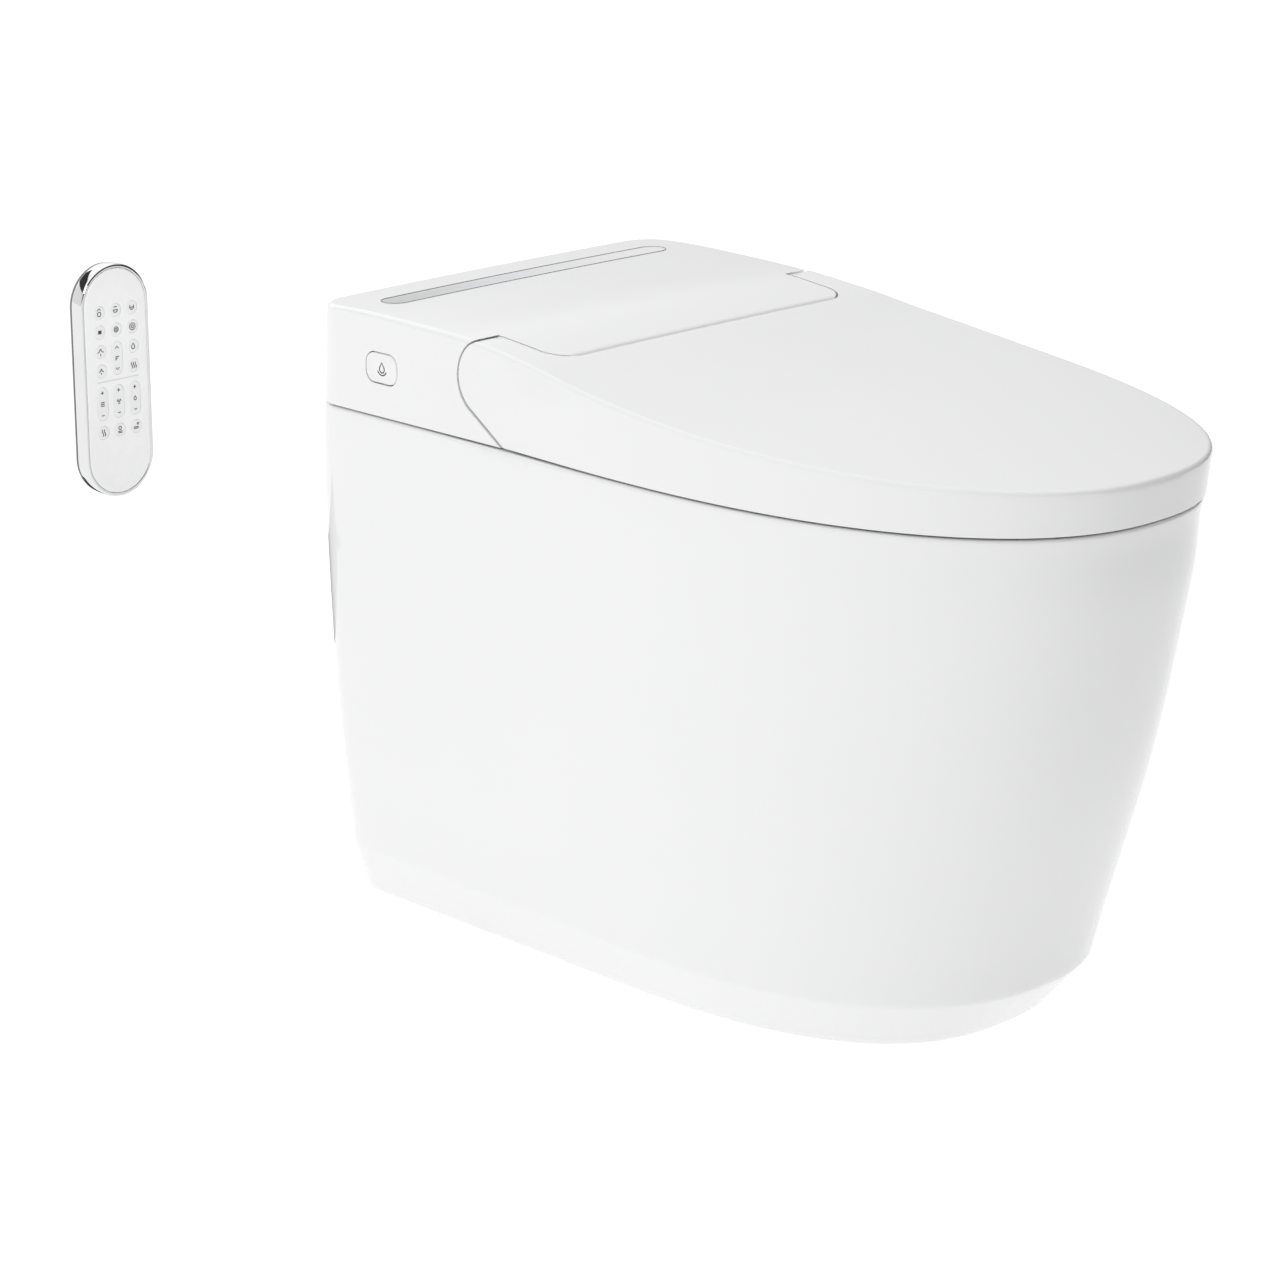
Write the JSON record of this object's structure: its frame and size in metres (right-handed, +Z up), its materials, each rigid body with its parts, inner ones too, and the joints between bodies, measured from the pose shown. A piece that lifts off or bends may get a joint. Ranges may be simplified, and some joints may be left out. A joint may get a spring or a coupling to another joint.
{
  "type": "electric bidet seat on a floor-standing toilet",
  "caption": "Floor-standing shower toilet: skirted ceramic pan, hinged seat and lid, wash and dryer unit under a rear cover, and a wall remote on a holder.",
  "frame": {"origin": "on the floor at the middle of the back, where the centreline meets the wall", "axes": "+Z up, -Y towards the front of the bowl, +Y into the wall, +X to the seated user's left"},
  "size_m": [0.606, 0.687, 0.5488],
  "materials": {
    "glazed_ceramic": "high gloss white glaze",
    "cover_plastic": "gloss white moulded plastic",
    "seat_plastic": "satin gloss white moulded plastic",
    "grey_plastic": "matt grey moulded plastic",
    "white_plastic": "matt white moulded plastic",
    "panel_glass": "glossy pale grey blue panel",
    "chrome": "polished chrome plate",
    "steel": "brushed steel",
    "brass": "plain brass",
    "rubber": "soft grey rubber",
    "circuit_board": "green laminate",
    "key_plastic": "satin pale grey keys"
  },
  "bodies": {
    "toilet": {"ceramic_pan": "glazed_ceramic", "ceramic_bowl": "glazed_ceramic", "chassis_tray": "grey_plastic", "rear_cover": "cover_plastic", "strip_panel": "panel_glass", "touch_panel": "cover_plastic", "hinge_pin_left": "steel", "hinge_pin_right": "steel", "lid_damper": "grey_plastic", "seat_damper": "grey_plastic", "nozzle_guide": "grey_plastic", "nozzle_motor": "steel", "water_heater": "white_plastic", "water_pump": "steel", "solenoid_valve": "grey_plastic", "water_inlet": "brass", "mains_gland": "grey_plastic", "fan_housing": "grey_plastic", "power_supply": "grey_plastic", "control_board": "circuit_board", "wall_holder": "white_plastic"},
    "seat": {"seat_top": "seat_plastic", "seat_base": "white_plastic", "seat_heater": "circuit_board", "seat_buffer_rear_left": "rubber", "seat_buffer_rear_right": "rubber", "seat_buffer_front_left": "rubber", "seat_buffer_front_right": "rubber"},
    "lid": {"lid": "cover_plastic", "lid_buffer_left": "rubber", "lid_buffer_right": "rubber"},
    "flush_button": {"flush_button": "cover_plastic"},
    "rear_wash": {"rear_wash_nozzle": "white_plastic"},
    "front_wash": {"front_wash_nozzle": "white_plastic"},
    "drive_wheel": {"nozzle_drive_wheel": "rubber"},
    "wash_shutter": {"nozzle_shutter": "cover_plastic"},
    "fan": {"fan_impeller": "white_plastic"},
    "air_flap": {"dryer_flap": "cover_plastic"},
    "filter": {"deodoriser_filter": "white_plastic"},
    "remote": {"remote_body": "chrome", "remote_face": "cover_plastic", "remote_board": "circuit_board"},
    "battery_door": {"battery_cover": "white_plastic"},
    "key_left_1": {"key_left_1": "key_plastic"},
    "key_left_2": {"key_left_2": "key_plastic"},
    "key_left_3": {"key_left_3": "key_plastic"},
    "key_left_4": {"key_left_4": "key_plastic"},
    "key_left_5": {"key_left_5": "key_plastic"},
    "key_middle_1": {"key_middle_1": "key_plastic"},
    "key_middle_2": {"key_middle_2": "key_plastic"},
    "key_middle_3": {"key_middle_3": "key_plastic"},
    "key_right_1": {"key_right_1": "key_plastic"},
    "key_right_2": {"key_right_2": "key_plastic"},
    "key_right_3": {"key_right_3": "key_plastic"},
    "key_right_4": {"key_right_4": "key_plastic"},
    "key_right_5": {"key_right_5": "key_plastic"},
    "rocker_left_1": {"rocker_left_1": "key_plastic"},
    "rocker_middle_1": {"rocker_middle_1": "key_plastic"},
    "rocker_middle_2": {"rocker_middle_2": "key_plastic"},
    "rocker_right_1": {"rocker_right_1": "key_plastic"}
  },
  "joints": [
    {"name": "seat_hinge", "type": "hinge", "parent": "toilet", "child": "seat", "pos_m": [0, -0.21, 0.473], "axis": [-1, 0, 0], "range_deg": [0, 95]},
    {"name": "lid_hinge", "type": "hinge", "parent": "seat", "child": "lid", "pos_m": [0, -0.21, 0.473], "axis": [1, 0, 0], "range_deg": [-100, 0]},
    {"name": "flush_press", "type": "slide", "parent": "toilet", "child": "flush_button", "axis": [1, 0, 0], "range_m": [0, 0.0015], "stiffness_N_per_m": 400, "springref_m": -0.001},
    {"name": "rear_wash_slide", "type": "slide", "parent": "toilet", "child": "rear_wash", "axis": [0, -0.9397, -0.342], "range_m": [0, 0.06]},
    {"name": "front_wash_slide", "type": "slide", "parent": "toilet", "child": "front_wash", "axis": [0, -0.9397, -0.342], "range_m": [0, 0.06]},
    {"name": "drive_wheel_spin", "type": "hinge", "parent": "toilet", "child": "drive_wheel", "pos_m": [-0.015, -0.19086, 0.43039], "axis": [1, 0, 0], "range_deg": [-10, 600]},
    {"name": "wash_shutter_hinge", "type": "hinge", "parent": "toilet", "child": "wash_shutter", "pos_m": [0, -0.2635, 0.409], "axis": [-1, 0, 0], "range_deg": [0, 40]},
    {"name": "fan_spin", "type": "hinge", "parent": "toilet", "child": "fan", "pos_m": [0.112, -0.128, 0.357], "axis": [0, 0, 1], "continuous": true},
    {"name": "air_flap_hinge", "type": "hinge", "parent": "toilet", "child": "air_flap", "pos_m": [0.08, -0.2645, 0.408], "axis": [-1, 0, 0], "range_deg": [0, 45]},
    {"name": "filter_slide", "type": "slide", "parent": "toilet", "child": "filter", "axis": [1, 0, 0], "range_m": [0, 0.05]},
    {"name": "remote_lift", "type": "slide", "parent": "toilet", "child": "remote", "axis": [0, 0, 1], "range_m": [0, 0.02]},
    {"name": "battery_door_slide", "type": "slide", "parent": "remote", "child": "battery_door", "axis": [0, 0, -1], "range_m": [0, 0.012]},
    {"name": "key_left_1_press", "type": "slide", "parent": "remote", "child": "key_left_1", "axis": [0, 1, 0], "range_m": [0, 0.0004], "stiffness_N_per_m": 300, "springref_m": -0.0005},
    {"name": "key_left_2_press", "type": "slide", "parent": "remote", "child": "key_left_2", "axis": [0, 1, 0], "range_m": [0, 0.0004], "stiffness_N_per_m": 300, "springref_m": -0.0005},
    {"name": "key_left_3_press", "type": "slide", "parent": "remote", "child": "key_left_3", "axis": [0, 1, 0], "range_m": [0, 0.0004], "stiffness_N_per_m": 300, "springref_m": -0.0005},
    {"name": "key_left_4_press", "type": "slide", "parent": "remote", "child": "key_left_4", "axis": [0, 1, 0], "range_m": [0, 0.0004], "stiffness_N_per_m": 300, "springref_m": -0.0005},
    {"name": "key_left_5_press", "type": "slide", "parent": "remote", "child": "key_left_5", "axis": [0, 1, 0], "range_m": [0, 0.0004], "stiffness_N_per_m": 300, "springref_m": -0.0005},
    {"name": "key_middle_1_press", "type": "slide", "parent": "remote", "child": "key_middle_1", "axis": [0, 1, 0], "range_m": [0, 0.0004], "stiffness_N_per_m": 300, "springref_m": -0.0005},
    {"name": "key_middle_2_press", "type": "slide", "parent": "remote", "child": "key_middle_2", "axis": [0, 1, 0], "range_m": [0, 0.0004], "stiffness_N_per_m": 300, "springref_m": -0.0005},
    {"name": "key_middle_3_press", "type": "slide", "parent": "remote", "child": "key_middle_3", "axis": [0, 1, 0], "range_m": [0, 0.0004], "stiffness_N_per_m": 300, "springref_m": -0.0005},
    {"name": "key_right_1_press", "type": "slide", "parent": "remote", "child": "key_right_1", "axis": [0, 1, 0], "range_m": [0, 0.0004], "stiffness_N_per_m": 300, "springref_m": -0.0005},
    {"name": "key_right_2_press", "type": "slide", "parent": "remote", "child": "key_right_2", "axis": [0, 1, 0], "range_m": [0, 0.0004], "stiffness_N_per_m": 300, "springref_m": -0.0005},
    {"name": "key_right_3_press", "type": "slide", "parent": "remote", "child": "key_right_3", "axis": [0, 1, 0], "range_m": [0, 0.0004], "stiffness_N_per_m": 300, "springref_m": -0.0005},
    {"name": "key_right_4_press", "type": "slide", "parent": "remote", "child": "key_right_4", "axis": [0, 1, 0], "range_m": [0, 0.0004], "stiffness_N_per_m": 300, "springref_m": -0.0005},
    {"name": "key_right_5_press", "type": "slide", "parent": "remote", "child": "key_right_5", "axis": [0, 1, 0], "range_m": [0, 0.0004], "stiffness_N_per_m": 300, "springref_m": -0.0005},
    {"name": "rocker_left_1_press", "type": "slide", "parent": "remote", "child": "rocker_left_1", "axis": [0, 1, 0], "range_m": [0, 0.0004], "stiffness_N_per_m": 300, "springref_m": -0.0005},
    {"name": "rocker_middle_1_press", "type": "slide", "parent": "remote", "child": "rocker_middle_1", "axis": [0, 1, 0], "range_m": [0, 0.0004], "stiffness_N_per_m": 300, "springref_m": -0.0005},
    {"name": "rocker_middle_2_press", "type": "slide", "parent": "remote", "child": "rocker_middle_2", "axis": [0, 1, 0], "range_m": [0, 0.0004], "stiffness_N_per_m": 300, "springref_m": -0.0005},
    {"name": "rocker_right_1_press", "type": "slide", "parent": "remote", "child": "rocker_right_1", "axis": [0, 1, 0], "range_m": [0, 0.0004], "stiffness_N_per_m": 300, "springref_m": -0.0005}
  ],
  "couplings": [
    {"joint": "drive_wheel_spin", "follows": "rear_wash_slide", "rad_per_m": 166.67}
  ]
}
